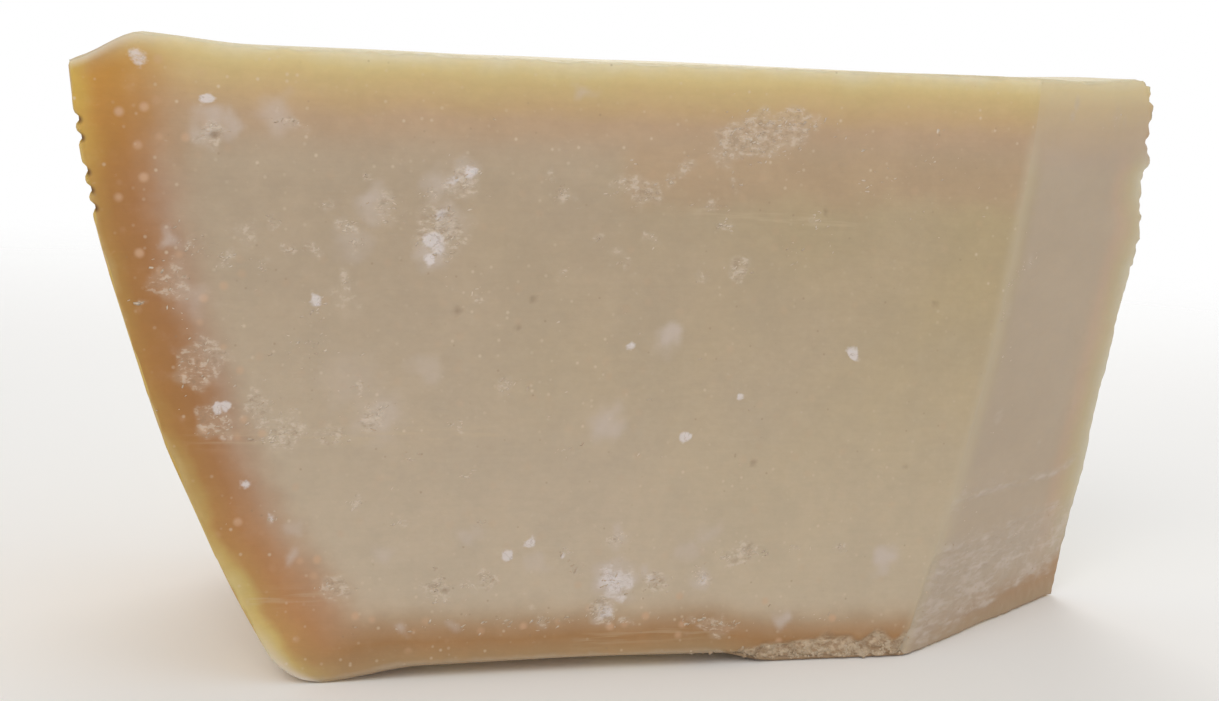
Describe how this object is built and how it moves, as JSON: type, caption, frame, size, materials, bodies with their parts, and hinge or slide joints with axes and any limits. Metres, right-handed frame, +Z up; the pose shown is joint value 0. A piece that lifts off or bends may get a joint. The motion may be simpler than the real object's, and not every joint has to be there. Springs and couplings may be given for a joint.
{
  "type": "parmesan chunk",
  "caption": "Wedge-shaped chunk of aged hard cheese with a bulging dotted heel rind, a broad smooth cut face and a narrow broken end, standing on its flat rind.",
  "frame": {"origin": "bottom centre of the chunk's bounding box, on the surface that it stands on", "axes": "+Z up; -Y faces the viewer of the broad cut face; -X towards the heel rind; +X towards the broken end"},
  "size_m": [0.1759, 0.0723, 0.0908],
  "materials": {
    "aged_cheese": "satin, straw-coloured hard cheese with an amber rind"
  },
  "bodies": {
    "root": {"parmesan_chunk": "aged_cheese"}
  },
  "joints": []
}
